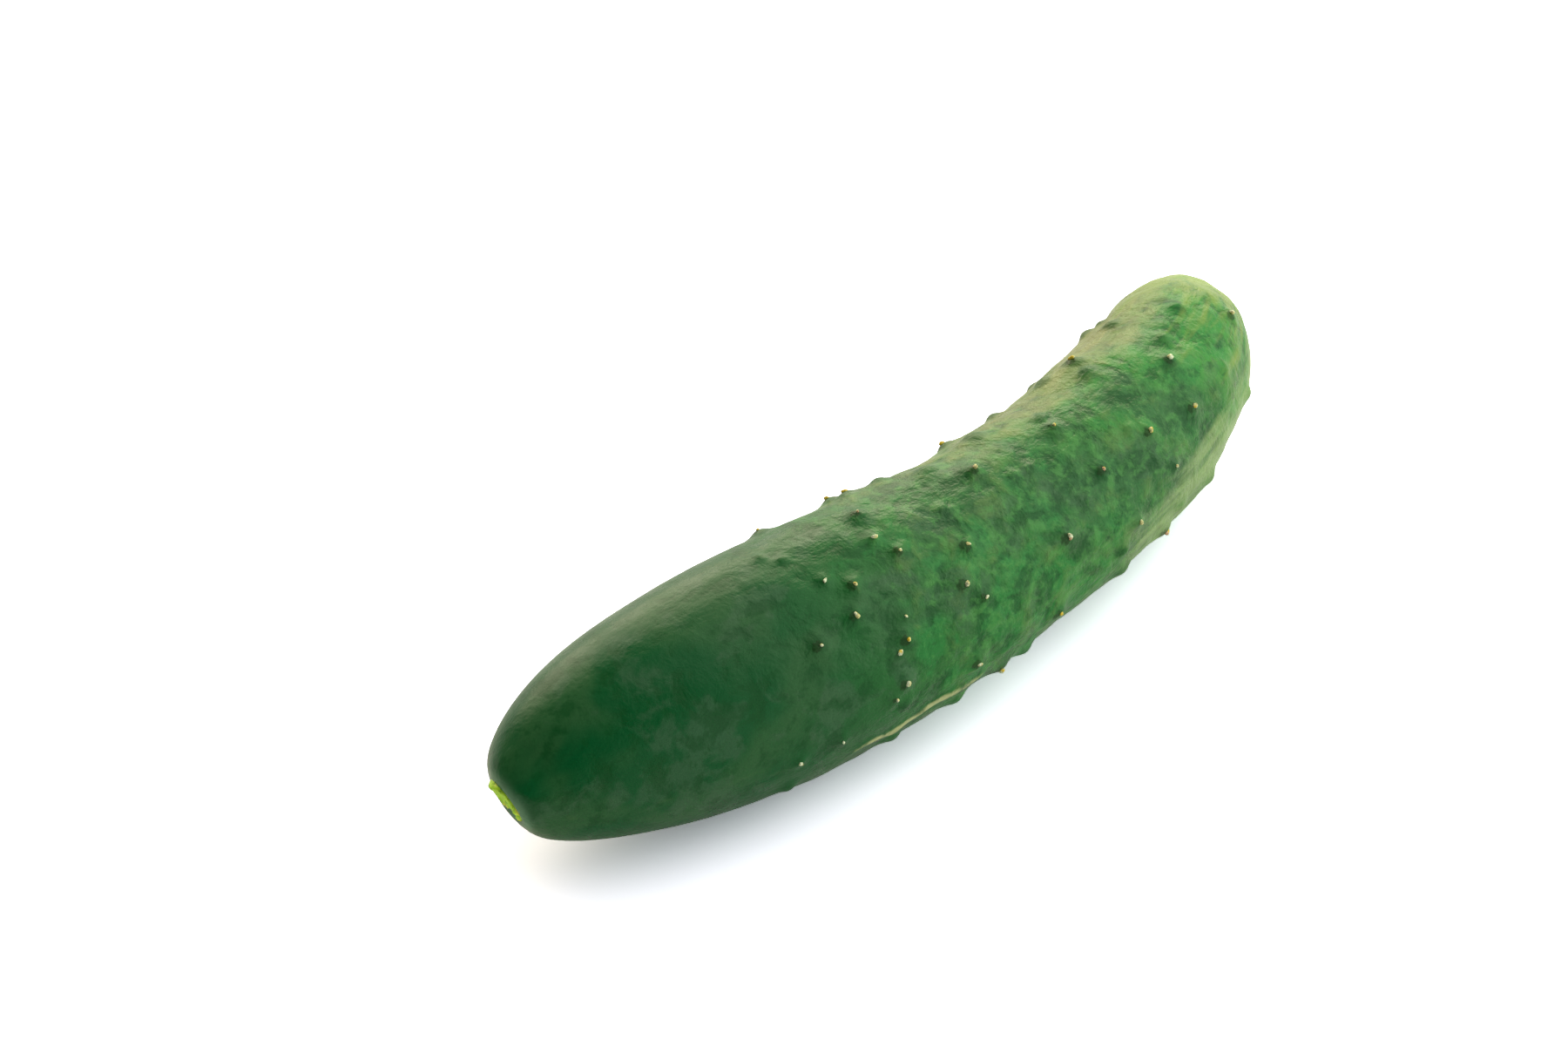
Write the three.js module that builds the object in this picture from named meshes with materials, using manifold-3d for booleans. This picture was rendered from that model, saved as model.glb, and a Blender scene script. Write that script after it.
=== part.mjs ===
// A slicing cucumber lying on its side, as one solid fruit. It tapers to a blunt, smooth stem end,
// has a slight waist, and bends sideways more and more towards the blossom end. Warts cover all but
// the stem end. Millimetres, +Z up. The two ends lie along X with the stem end at -X, the bend's
// hollow side faces +Y, and the origin is under the middle of the fruit's box, on the surface that
// the fruit rests on.
import Module from "manifold-3d";
import * as THREE from "three";
import { mergeVertices } from "three/addons/utils/BufferGeometryUtils.js";

const { clamp, degToRad, lerp, smoothstep } = THREE.MathUtils;

// Driving dimensions.
const LENGTH = 220; // along the curved middle line, from tip to tip before the scars are cut in
const FULL_RADIUS = 23.7; // of the body before the waist is taken off

// Long section. A share runs from 0 at the stem end to 1 at the blossom end.
const FATTEST_AT = 0.333;
const STEM_TAPER = { along: 2.17, across: 2.25 }; // exponents of the rounded ends
const BLOSSOM_TAPER = { along: 2.71, across: 2.39 };
const WAIST = { at: 0.585, spread: 0.175, depth: 0.117 };
const SHOULDER = { at: 0.911, spread: 0.061, height: 0.08 }; // fullness before the blossom end

// Middle line, seen from above and from the side.
const BEND = { angle: degToRad(50.7), power: 2.15 }; // whole turn towards +Y
const NECK_HOOK = { angle: degToRad(15), share: 0.15 }; // the stem end turns back a little
const TIP_TURN = { angle: degToRad(18.3), share: 0.2 }; // the blossom end turns in further
const ARCH = 3.95; // rise of the middle above the ends
const TILT = 7.39; // drop from the stem end to the slimmer blossom end
const CONTACT_DEPTH = 0.4; // how much of the belly is pressed flat by the surface

// Cross-section: three carpels make it faintly three-sided, and the skin undulates.
const LOBES = { count: 3, share: 0.008, phase: 0.6 };
const UNDULATIONS = [
  { size: 0.26, alongPerMm: 0.17, around: 2, phase: 0.4 },
  { size: 0.22, alongPerMm: -0.23, around: 3, phase: 2.1 },
];
const UNDULATION_START = 0.12; // share where the smooth stem end stops
const UNDULATION_FULL = 0.6;

// Scars: shallow round dishes at the two tips.
const STEM_SCAR = { radius: 5, depth: 1.1 };
const BLOSSOM_SCAR = { radius: 2.6, depth: 0.7 };
const DISH_RINGS = [0, 0.45, 0.8];
const SCAR_TILT = { slope: 0.36, up: degToRad(37), fade: 11 }; // the stem scar faces down a little

// Warts: [mm from the stem end, degrees round from the top towards -Y, size beside a full wart].
const WART = { radius: 2.6, height: 1.1, root: 0.9, shoulder: 0.6, sides: 6 };
const SIDE_WARTS = [
  [69.5, 18, 0.7], [84, 9, 0.8], [86.5, 21, 1], [101, 11, 0.7], [119, 13, 0.6], [124, 16, 0.7],
  [171, 20, 1], [62, 44, 1], [71, 39, 0.9], [74, 26, 1], [79, 60, 1], [76.5, 64, 0.8],
  [80.5, 50, 0.6], [76.5, 80, 1], [74, 86, 0.8], [99.5, 34, 1.1], [95, 50, 1.2], [98, 61, 0.9],
  [121, 59, 1.1], [136.5, 40, 1], [151.5, 40, 1], [148.5, 33, 0.7], [129.5, 48, 0.6], [139.5, 59, 0.7],
  [166, 50, 1.1], [181, 52, 0.8], [197, 42, 1], [153.5, 68, 0.7], [139.5, 80, 0.7], [134.5, 90, 0.8],
  [94, 94, 1], [76.5, 93, 0.8], [62, 95, 0.6], [53, 97, 0.6],
];
const LOWER_WARTS = [
  [116.5, 101, 1.1], [52, 118, 0.8], [76, 120, 1], [91, 118, 1], [102, 116, 1], [109, 118, 1],
  [136, 110, 1], [155, 101, 0.9], [151, 112, 1.2], [167, 104, 1], [188, 88, 0.9],
];
const UPPER_WARTS = [
  [66, -4, 0.6], [63, -12, 0.6], [86, -9, 1], [113.5, 0, 1], [136, 3, 0.9], [137.5, -9, 0.8],
  [156, -12, 0.9], [177, 9, 0.9], [189, 4, 0.9], [107.5, -20, 1.2], [124, -27, 1.2], [159, -26, 1.1],
  [100, -37, 0.9], [91, -36, 0.8], [152, -38, 0.9], [180, -32, 0.9], [73, -50, 1], [90, -48, 1],
  [97, -58, 1.2], [126, -62, 1.2], [138, -50, 0.9], [158, -65, 1], [182, -58, 1], [186, -52, 0.7],
];
const BACK_WARTS = {
  count: 42,
  from: { mm: 54, degrees: 132 },
  to: { mm: 202, degrees: 286 },
  smallest: 0.7,
  largest: 1.15,
  steps: { mm: 0.7549, degrees: 0.5698, size: 0.618 }, // shares of the range that scatter them evenly
};

// Mesh fineness.
const STATIONS = 54;
const SIDES = 32;
const AXIS_STEPS = 440;
const PROBE = { mm: 1, turn: 0.05 }; // half steps that the skin's slopes are measured over

function bodyRadius(share) {
  const toStem = clamp(1 - share / FATTEST_AT, 0, 1);
  const toBlossom = clamp((share - FATTEST_AT) / (1 - FATTEST_AT), 0, 1);
  const taper =
    share < FATTEST_AT
      ? (1 - toStem ** STEM_TAPER.along) ** (1 / STEM_TAPER.across)
      : (1 - toBlossom ** BLOSSOM_TAPER.along) ** (1 / BLOSSOM_TAPER.across);
  const waist = WAIST.depth * Math.exp(-(((share - WAIST.at) / WAIST.spread) ** 2));
  const shoulder = SHOULDER.height * Math.exp(-(((share - SHOULDER.at) / SHOULDER.spread) ** 2));
  return FULL_RADIUS * taper * (1 - waist + shoulder);
}

function heading(share) {
  const hook = NECK_HOOK.angle * Math.max(0, 1 - share / NECK_HOOK.share);
  const tip = TIP_TURN.angle * Math.max(0, 1 - (1 - share) / TIP_TURN.share) ** 2;
  return BEND.angle * share ** BEND.power + hook + tip;
}

// The middle line as points one step apart, turned so that its ends lie along X.
function middleLine() {
  const points = [new THREE.Vector3()];
  for (let i = 0; i < AXIS_STEPS; i++) {
    const angle = heading((i + 0.5) / AXIS_STEPS);
    const step = new THREE.Vector3(Math.cos(angle), Math.sin(angle), 0).multiplyScalar(LENGTH / AXIS_STEPS);
    points.push(points[i].clone().add(step));
  }
  const end = points[AXIS_STEPS];
  const chord = Math.atan2(end.y, end.x);
  const up = new THREE.Vector3(0, 0, 1);
  points.forEach((point, i) => {
    const share = i / AXIS_STEPS;
    point.applyAxisAngle(up, -chord);
    point.z = -ARCH * (2 * share - 1) ** 2 - TILT * (share - 0.5);
  });
  return { points, chord };
}

const axis = middleLine();

// Slants the rings at the stem scar, less and less towards the fade radius.
function tiltScar(mm, angle, radius) {
  const near = mm < FATTEST_AT * LENGTH ? 1 - smoothstep(radius, STEM_SCAR.radius, SCAR_TILT.fade) : 0;
  return mm - SCAR_TILT.slope * radius * Math.cos(angle - SCAR_TILT.up) * near;
}

// The point of the bent fruit that is mm from the stem end, at an angle round from the top and a radius.
function bend(straightMm, angle, radius) {
  const mm = tiltScar(straightMm, angle, radius);
  const share = mm / LENGTH;
  const at = share * AXIS_STEPS;
  const i = clamp(Math.floor(at), 0, AXIS_STEPS - 1);
  const turn = heading(clamp(share, 0, 1)) - axis.chord;
  const sideways = new THREE.Vector3(Math.sin(turn), -Math.cos(turn), 0);
  return axis.points[i]
    .clone()
    .lerp(axis.points[i + 1], at - i)
    .addScaledVector(sideways, radius * Math.sin(angle))
    .add(new THREE.Vector3(0, 0, radius * Math.cos(angle)));
}

function skinRadius(mm, angle) {
  const share = mm / LENGTH;
  const smooth = bodyRadius(share);
  const lobed = smooth * (1 + LOBES.share * Math.cos(LOBES.count * angle + LOBES.phase));
  const swell = smoothstep(share, UNDULATION_START, UNDULATION_FULL) * (smooth / FULL_RADIUS);
  const undulation = UNDULATIONS.reduce(
    (sum, wave) => sum + wave.size * Math.sin(wave.alongPerMm * mm + wave.around * angle + wave.phase),
    0,
  );
  return lobed + swell * undulation;
}

// How far from the stem end the body has a radius, on the side of its fattest place where a tip lies.
function mmAtRadius(radius, tipMm) {
  let thin = tipMm;
  let thick = FATTEST_AT * LENGTH;
  for (let i = 0; i < 40; i++) {
    const middle = (thin + thick) / 2;
    if (bodyRadius(middle / LENGTH) < radius) thin = middle;
    else thick = middle;
  }
  return thick;
}

// Rings of a scar's dish, from its bottom on the middle line to just inside its rim.
function dish(scar, rimMm, inwards) {
  return DISH_RINGS.map(
    (ring) => new THREE.Vector2(scar.radius * ring, rimMm + inwards * scar.depth * (1 - ring ** 3)),
  );
}

// Half the long section, from the bottom of the stem scar's dish to the bottom of the blossom scar's.
function longSection() {
  const stemRim = mmAtRadius(STEM_SCAR.radius, 0);
  const blossomRim = mmAtRadius(BLOSSOM_SCAR.radius, LENGTH);
  const skin = Array.from({ length: STATIONS + 1 }, (_, i) => {
    const mm = lerp(stemRim, blossomRim, (1 - Math.cos((Math.PI * i) / STATIONS)) / 2);
    return new THREE.Vector2(bodyRadius(mm / LENGTH), mm);
  });
  return [...dish(STEM_SCAR, stemRim, 1), ...skin, ...dish(BLOSSOM_SCAR, blossomRim, -1).reverse()];
}

// The lathed body, bent. Points of the skin take its undulation, and those of the dishes don't.
function fruitBody() {
  const geometry = new THREE.LatheGeometry(longSection(), SIDES);
  const places = geometry.getAttribute("position");
  for (let i = 0; i < places.count; i++) {
    const turned = Math.hypot(places.getX(i), places.getZ(i));
    const mm = places.getY(i);
    const angle = Math.atan2(places.getX(i), places.getZ(i));
    const onSkin = turned > 0.99 * bodyRadius(mm / LENGTH);
    const place = bend(mm, angle, onSkin ? skinRadius(mm, angle) : turned);
    places.setXYZ(i, place.x, place.y, place.z);
  }
  return geometry;
}

function skinPoint(mm, angle) {
  return bend(mm, angle, skinRadius(mm, angle));
}

// Outward direction of the skin, from its slopes along and around the fruit.
function skinNormal(mm, angle) {
  const along = skinPoint(mm + PROBE.mm, angle).sub(skinPoint(mm - PROBE.mm, angle));
  const around = skinPoint(mm, angle + PROBE.turn).sub(skinPoint(mm, angle - PROBE.turn));
  return around.cross(along).normalize();
}

// A low dome with its root under the skin.
function wart([mm, degrees, size]) {
  const radius = WART.radius * size;
  const height = WART.height * size;
  const profile = [
    new THREE.Vector2(0, -WART.root),
    new THREE.Vector2(radius, -WART.root / 2),
    new THREE.Vector2(radius * WART.shoulder, height * WART.shoulder),
    new THREE.Vector2(0, height),
  ];
  const angle = degToRad(degrees);
  const normal = skinNormal(mm, angle);
  const place = skinPoint(mm, angle);
  const turn = new THREE.Quaternion().setFromUnitVectors(new THREE.Vector3(0, 1, 0), normal);
  return new THREE.LatheGeometry(profile, WART.sides)
    .applyQuaternion(turn)
    .translate(place.x, place.y, place.z);
}

function backWarts() {
  const { count, from, to, smallest, largest, steps } = BACK_WARTS;
  return Array.from({ length: count }, (_, i) => [
    lerp(from.mm, to.mm, ((i + 1) * steps.mm) % 1),
    lerp(from.degrees, to.degrees, ((i + 1) * steps.degrees) % 1),
    lerp(smallest, largest, ((i + 1) * steps.size) % 1),
  ]);
}

const wasm = await Module();
wasm.setup();

function toSolid(geometry) {
  geometry.deleteAttribute("normal");
  geometry.deleteAttribute("uv");
  const merged = mergeVertices(geometry, 1e-3);
  return new wasm.Manifold(
    new wasm.Mesh({
      numProp: 3,
      vertProperties: new Float32Array(merged.getAttribute("position").array),
      triVerts: new Uint32Array(merged.index.array),
    }),
  );
}

function toGeometry(solid) {
  const mesh = solid.getMesh();
  const geometry = new THREE.BufferGeometry();
  geometry.setAttribute("position", new THREE.BufferAttribute(mesh.vertProperties, 3));
  geometry.setIndex(new THREE.BufferAttribute(mesh.triVerts, 1));
  return geometry;
}

// The warty fruit with its belly pressed flat, standing on Z = 0 with the middle of its box over the origin.
function fruit() {
  const body = fruitBody();
  body.computeBoundingBox();
  const surface = body.boundingBox.min.z + CONTACT_DEPTH;
  const warts = [...SIDE_WARTS, ...LOWER_WARTS, ...UPPER_WARTS, ...backWarts()].map(wart);
  const warty = warts.reduce((solid, each) => solid.add(toSolid(each)), toSolid(body));
  const below = new THREE.BoxGeometry(2 * LENGTH, 2 * LENGTH, LENGTH).translate(0, 0, surface - LENGTH / 2);
  const geometry = toGeometry(warty.subtract(toSolid(below)));
  geometry.computeBoundingBox();
  const middle = geometry.boundingBox.getCenter(new THREE.Vector3());
  geometry.translate(-middle.x, -middle.y, -surface);
  geometry.computeVertexNormals();
  return geometry;
}

const waxySkin = new THREE.MeshStandardMaterial({ color: 0x2f6b3a, roughness: 0.45, metalness: 0 });

const cucumber = new THREE.Mesh(fruit(), waxySkin);
cucumber.name = "cucumber";

const part = new THREE.Group();
part.add(cucumber);

export default part;
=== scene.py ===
"""A slicing cucumber on a pale studio floor, laid out as a Blender add-on.

Metres, +Z up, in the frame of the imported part: the stem end is at -X, the hollow side of the bend
faces +Y, and the floor is at Z = 0. Places on the fruit are given as millimetres from the stem end
and degrees round from the top, positive towards -Y.
"""

import math

import bmesh
import bpy
import numpy as np
from mathutils import Matrix, Vector, noise


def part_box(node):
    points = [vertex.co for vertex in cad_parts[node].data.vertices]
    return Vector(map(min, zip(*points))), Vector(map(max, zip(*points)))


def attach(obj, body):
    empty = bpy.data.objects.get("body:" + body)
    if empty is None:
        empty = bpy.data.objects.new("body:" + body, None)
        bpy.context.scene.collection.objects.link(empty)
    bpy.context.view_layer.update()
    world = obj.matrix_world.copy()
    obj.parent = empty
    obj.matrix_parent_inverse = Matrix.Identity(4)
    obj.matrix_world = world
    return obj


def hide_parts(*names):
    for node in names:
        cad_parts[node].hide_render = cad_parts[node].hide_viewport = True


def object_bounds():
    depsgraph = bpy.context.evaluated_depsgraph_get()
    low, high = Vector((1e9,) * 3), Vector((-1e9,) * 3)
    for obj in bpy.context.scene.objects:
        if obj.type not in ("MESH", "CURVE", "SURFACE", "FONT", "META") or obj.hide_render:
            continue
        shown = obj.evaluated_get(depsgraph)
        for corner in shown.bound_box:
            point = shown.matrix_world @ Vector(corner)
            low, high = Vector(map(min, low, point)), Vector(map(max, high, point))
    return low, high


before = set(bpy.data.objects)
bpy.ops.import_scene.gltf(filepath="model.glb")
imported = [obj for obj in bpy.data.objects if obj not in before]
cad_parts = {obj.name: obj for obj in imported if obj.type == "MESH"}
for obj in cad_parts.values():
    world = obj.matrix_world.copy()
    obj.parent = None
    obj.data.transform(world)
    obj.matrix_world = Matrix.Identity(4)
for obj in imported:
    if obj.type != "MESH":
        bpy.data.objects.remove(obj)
CAD_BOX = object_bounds()

bl_info = {
    "name": "Slicing Cucumber",
    "version": (1, 0, 0),
    "blender": (4, 5, 0),
    "location": "3D View > Sidebar > Cucumber",
    "description": "Builds a warty slicing cucumber and its studio round a packed part",
    "category": "Add Mesh",
}

NODE = "cucumber"
MM = 0.001

# The body, as in the part: its long section, its middle line and its wavy cross-section.
LENGTH = 220.0
FULL_RADIUS = 23.7
FATTEST_AT = 0.333
STEM_TAPER = (2.17, 2.25)
BLOSSOM_TAPER = (2.71, 2.39)
WAIST_AT, WAIST_SPREAD, WAIST_DEPTH = 0.585, 0.175, 0.117
SHOULDER_AT, SHOULDER_SPREAD, SHOULDER_HEIGHT = 0.911, 0.061, 0.08
BEND_ANGLE, BEND_POWER = math.radians(50.7), 2.15
HOOK_ANGLE, HOOK_SHARE = math.radians(15), 0.15
TIP_TURN, TIP_SHARE = math.radians(18.3), 0.2
ARCH = 3.95
TILT = 7.39
LOBES, LOBE_SHARE, LOBE_PHASE = 3, 0.008, 0.6
UNDULATIONS = ((0.26, 0.17, 2, 0.4), (0.22, -0.23, 3, 2.1))  # size, turns per mm, around, phase
UNDULATION_START, UNDULATION_FULL = 0.12, 0.6
STEM_SCAR_RADIUS, STEM_SCAR_DEPTH = 5.0, 1.1
BLOSSOM_SCAR_RADIUS, BLOSSOM_SCAR_DEPTH = 2.6, 0.7
SCAR_SLOPE, SCAR_UP, SCAR_FADE = 0.36, math.radians(37), 11.0  # the stem scar faces down a little
AXIS_STEPS = 440

# Warts: millimetres, degrees, size beside a full wart, and the colour of the dry spine on it.
WARTS = (
    (69.5, 18, 0.7, "white"), (84, 9, 0.8, "white"), (86.5, 21, 1.0, "cream"),
    (101, 11, 0.7, ""), (119, 13, 0.6, ""), (124, 16, 0.7, ""),
    (171, 20, 1.0, "white"), (62, 44, 1.0, "white"), (71, 39, 0.9, "cream"),
    (74, 26, 1.0, "cream"), (79, 60, 1.0, "yellow"), (76.5, 64, 0.8, "white"),
    (80.5, 50, 0.6, "white"), (76.5, 80, 1.0, "cream"), (74, 86, 0.8, "white"),
    (99.5, 34, 1.1, "cream"), (95, 50, 1.2, "cream"), (98, 61, 0.9, "white"),
    (121, 59, 1.1, "white"), (136.5, 40, 1.0, "rose"), (151.5, 40, 1.0, "yellow"),
    (148.5, 33, 0.7, ""), (129.5, 48, 0.6, ""), (139.5, 59, 0.7, ""),
    (166, 50, 1.1, "cream"), (181, 52, 0.8, ""), (197, 42, 1.0, "white"),
    (153.5, 68, 0.7, "cream"), (139.5, 80, 0.7, "cream"), (134.5, 90, 0.8, ""),
    (94, 94, 1.0, "cream"), (76.5, 93, 0.8, ""), (62, 95, 0.6, "white"),
    (53, 97, 0.6, "white"), (116.5, 101, 1.1, "yellow"), (52, 118, 0.8, ""),
    (76, 120, 1.0, ""), (91, 118, 1.0, ""), (102, 116, 1.0, "yellow"),
    (109, 118, 1.0, ""), (136, 110, 1.0, ""), (155, 101, 0.9, ""),
    (151, 112, 1.2, "white"), (167, 104, 1.0, ""), (188, 88, 0.9, ""),
    (66, -4, 0.6, ""), (63, -12, 0.6, ""), (86, -9, 1.0, "rose"),
    (113.5, 0, 1.0, "cream"), (136, 3, 0.9, "cream"), (137.5, -9, 0.8, ""),
    (156, -12, 0.9, ""), (177, 9, 0.9, ""), (189, 4, 0.9, ""),
    (107.5, -20, 1.2, ""), (124, -27, 1.2, ""), (159, -26, 1.1, "yellow"),
    (100, -37, 0.9, ""), (91, -36, 0.8, ""), (152, -38, 0.9, ""),
    (180, -32, 0.9, ""), (73, -50, 1.0, "yellow"), (90, -48, 1.0, "yellow"),
    (97, -58, 1.2, "yellow"), (126, -62, 1.2, "yellow"), (138, -50, 0.9, ""),
    (158, -65, 1.0, ""), (182, -58, 1.0, ""), (186, -52, 0.7, ""),
)
BACK_WARTS = 42
BACK_FROM, BACK_TO = (54.0, 132.0, 0.7), (202.0, 286.0, 1.15)  # mm, degrees, size
BACK_STEPS = (0.7549, 0.5698, 0.618)
BACK_SPINES = ("cream", "", "yellow", "white", "")

# Shape of one full wart, in millimetres: a low swelling with a firm nipple in its middle. A wart with
# a spine has a dark collar, partly dead tissue and partly a painted shadow beside the spine, which
# lies a little to the stem side of the spine.
SWELL_RADIUS, SWELL_HEIGHT = 4.3, 0.65
NIPPLE_RADIUS, NIPPLE_HEIGHT = 2.2, 0.4
FULL_WART = SWELL_HEIGHT + NIPPLE_HEIGHT
COLLAR_SHADOW_RADIUS, COLLAR_SHADOW_SHIFT = 1.65, 0.7

# The dry spine on a wart: a ball, flattened and roughened by shares of its own width.
SPINE_SEGMENTS, SPINE_RINGS = 9, 6
SPINE_LEAST, SPINE_SPREAD = 0.55, 0.25  # share that a small wart leaves, and how far widths vary
SPINE_FLATNESS = (1, 0.72, 0.7, 1)
SPINE_ROUGHNESS, SPINE_LUMPS = 0.7, 1.6
SPINE_CLEARANCE = 0.7  # from its middle to the part's box
SPINE_TONES = {"white": "#E2ECCE", "cream": "#DDDA9A", "yellow": "#E8CC3E", "rose": "#E0B496"}
LEAST_SPINE_HEIGHT = 2 * MM  # above the floor

# The skin between the warts sinks in soft dents: depth and width of each size of dent, in mm.
DENTS = ((0.5, 9.0), (0.22, 3.6))
DENT_STRETCH = 1.3  # length over width
DENT_BIAS = 0.45  # share of the depth where the noise is level
DENTS_START, DENTS_FULL = 0.12, 0.42

# A crease low on the side: mm and degrees of its two ends, its half width, and its height.
CREASE_FROM, CREASE_TO = (66.0, 112.0), (96.0, 106.2)
CREASE_WIDTH, CREASE_HEIGHT = 1.1, 0.5
CREASE_WAVE, CREASE_WAVE_RATE = 0.03, 0.35  # radians, and radians per mm
CREASE_RUN_OUT, CREASE_FADE = 4, 0.6  # mm past each end, and how fast it fades there

# Pale zones high on the hollow side and low on the outer side: the angle in the middle of each, the
# cosines from there where it starts and where it is full, and the mm over which it comes in. The
# hollow side's zone is partly a paler side of the skin and partly a painted sheen, and the outer
# side's zone is a painted reflection of the floor.
HOLLOW_ZONE, HOLLOW_EDGES = math.radians(-55), (0.35, 1.0)
HOLLOW_STEPS = ((0.55, 45, 100), (0.45, 100, 170))  # share of the whole, from mm, to mm
# The outer side's pale zone is a painted reflection of the white floor.
OUTER_ZONE, OUTER_EDGES = math.radians(108), (0.62, 0.97)
OUTER_AT_STEM, OUTER_STEP = 0.35, (110, 175)
MOUND_SHADE_OUTSIDE = 0.3  # share of the painted shade on the warts that is left outside the hollow side
LIP_WIDTH = 1.8  # of the grey-green lip round the stem scar, in mm

# The torn stalk: a plug with a raised crest, higher on its upper side, and a ragged outline. Lengths
# are mm, its two faces are given as depths below the skin's rim, and the crest's edges are radii.
PLUG_RADIUS, PLUG_SIDES, PLUG_RINGS = 5.3, 72, 24
PLUG_FRONT, PLUG_FRONT_DOME = 0.7, 0.2
PLUG_BACK, PLUG_BACK_DOME = 1.6, 1.1
PLUG_FRONT_LIMIT = 0.75  # whatever is less deep than this moves with the front
CREST_INNER, CREST_OUTER = (1.6, 4.0), (4.6, 5.3)
CREST_HEIGHT, CREST_LEAST, CREST_TILT, CREST_SIDE = 1.4, 0.65, 0.6, math.radians(5)
TEARS_PER_MM, TEAR_HEIGHT = 0.9, 0.7
REACH, REACH_TILT, REACH_TEARS, REACH_SIDE = 0.93, 0.11, 0.08, math.radians(-70)
# Radii, in mm, over which the painted shade in the plug's hollow middle fades out.
PLUG_HOLLOW_SHADE = (1.0, 4.2)

# The withered blossom base: a thin wavy disc, its faces given as depths below the skin's rim.
CORK_RADIUS, CORK_SIDES, CORK_RINGS = 2.2, 40, 12
CORK_BACK, CORK_BACK_DOME = 1.0, 0.2
CORK_FRONT, CORK_FRONT_DOME = 0.35, 0.35
CORK_WAVES, CORK_WAVE_HEIGHT = 5, 0.12

# Steps that the long section and the box are measured in, much finer than the faces.
SECTION_STEPS, DISH_STEPS = 4000, 200
SETTLE_RINGS, SETTLE_SIDES = 400, 240

# The studio, in metres but for the sensor, in mm. The camera sees the board brighter than white, as
# an exposure that burns it out would show it. Every other ray meets the plain board.
FLOOR_HALF_WIDTH = 6
CAMERA_SENSOR = 36
CAMERA_NEAR, CAMERA_FAR = 0.01, 50
BURNT_OUT_BOARD = (2.15, 2.14, 2.7, 1.0)
DIM_ROOM = "#3E423C"
PLAIN_WHITE = (1.0, 1.0, 1.0, 1.0)


def colour_property(name, description, default):
    return bpy.props.FloatVectorProperty(
        name=name, description=description, default=linear(default), subtype="COLOR", size=3,
        min=0.0, max=1.0,
    )


def linear(colour):
    """An sRGB hex colour as linear red, green and blue."""
    values = [int(colour[i : i + 2], 16) / 255 for i in (1, 3, 5)]
    return tuple(v / 12.92 if v <= 0.04045 else ((v + 0.055) / 1.055) ** 2.4 for v in values)


class CucumberFruit(bpy.types.PropertyGroup):
    rings: bpy.props.IntProperty(
        name="Rings", description="Rings of faces along the skin", default=366, min=40, max=380
    )
    sides: bpy.props.IntProperty(
        name="Sides", description="Faces round each ring of the skin", default=250, min=24, max=256
    )
    wart_height: bpy.props.FloatProperty(
        name="Wart height", description="Height of a full wart above the skin",
        default=FULL_WART * MM, min=0.0, max=0.0012, unit="LENGTH",
    )
    spine_width: bpy.props.FloatProperty(
        name="Spine width", description="Width of the dry spine left on a full wart",
        default=1.2 * MM, min=0.0004, max=0.003, unit="LENGTH",
    )


class CucumberColours(bpy.types.PropertyGroup):
    stem_green: colour_property("Stem end", "Skin at the stem end", "#07522A")
    middle_green: colour_property("Middle", "Skin halfway along", "#38763B")
    blossom_green: colour_property("Blossom end", "Skin near the blossom end", "#43923F")
    stripe: colour_property("Stripes", "Pale stripes from the blossom end", "#7F9C4C")
    cut: colour_property("Cut stem", "Fresh tissue where the stalk broke away", "#BDF032")


class CucumberStudio(bpy.types.PropertyGroup):
    azimuth: bpy.props.FloatProperty(
        name="Azimuth", description="Camera's direction round the fruit",
        default=math.radians(-50.5), subtype="ANGLE",
    )
    elevation: bpy.props.FloatProperty(
        name="Elevation", description="Camera's angle above the floor",
        default=math.radians(41), subtype="ANGLE",
    )
    distance: bpy.props.FloatProperty(
        name="Distance", description="From the camera to the point it looks at",
        default=0.9148, unit="LENGTH",
    )
    lens: bpy.props.FloatProperty(
        name="Lens", description="Focal length in millimetres", default=102.1, subtype="NONE"
    )
    aim: bpy.props.FloatVectorProperty(
        name="Aim", description="Point at floor level that the camera looks at",
        default=(0.00787, 0.04312, -0.0004), size=3, subtype="XYZ", unit="LENGTH",
    )


# Soft panels behind, overhead, to the right and low in front: direction, angles where the light is
# full and where it ends, and its colour times power.
PANELS = (
    ((0.6, 0.75, 0.3), math.radians(18), math.radians(46), (4.0, 3.6, 2.6)),
    ((0.45, -0.25, 0.86), math.radians(10), math.radians(46), (1.7, 1.65, 1.4)),
    ((0.85, -0.5, 0.12), math.radians(22), math.radians(48), (1.1, 1.15, 1.0)),
    ((0.15, -0.98, 0.1), math.radians(15), math.radians(58), (1.05, 1.05, 0.9)),
)


# Shape of the fruit. Lengths are millimetres and angles radians, and every function takes arrays.


def smooth_step(value, low, high):
    share = np.clip((value - low) / (high - low), 0.0, 1.0)
    return share * share * (3 - 2 * share)


def body_radius(share):
    to_stem = np.clip(1 - share / FATTEST_AT, 0, 1)
    to_blossom = np.clip((share - FATTEST_AT) / (1 - FATTEST_AT), 0, 1)
    taper = np.where(
        share < FATTEST_AT,
        (1 - to_stem ** STEM_TAPER[0]) ** (1 / STEM_TAPER[1]),
        (1 - to_blossom ** BLOSSOM_TAPER[0]) ** (1 / BLOSSOM_TAPER[1]),
    )
    waist = WAIST_DEPTH * np.exp(-(((share - WAIST_AT) / WAIST_SPREAD) ** 2))
    shoulder = SHOULDER_HEIGHT * np.exp(-(((share - SHOULDER_AT) / SHOULDER_SPREAD) ** 2))
    return FULL_RADIUS * taper * (1 - waist + shoulder)


def heading(share):
    hook = HOOK_ANGLE * np.clip(1 - share / HOOK_SHARE, 0, None)
    tip = TIP_TURN * np.clip(1 - (1 - share) / TIP_SHARE, 0, None) ** 2
    return BEND_ANGLE * share**BEND_POWER + hook + tip


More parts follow.
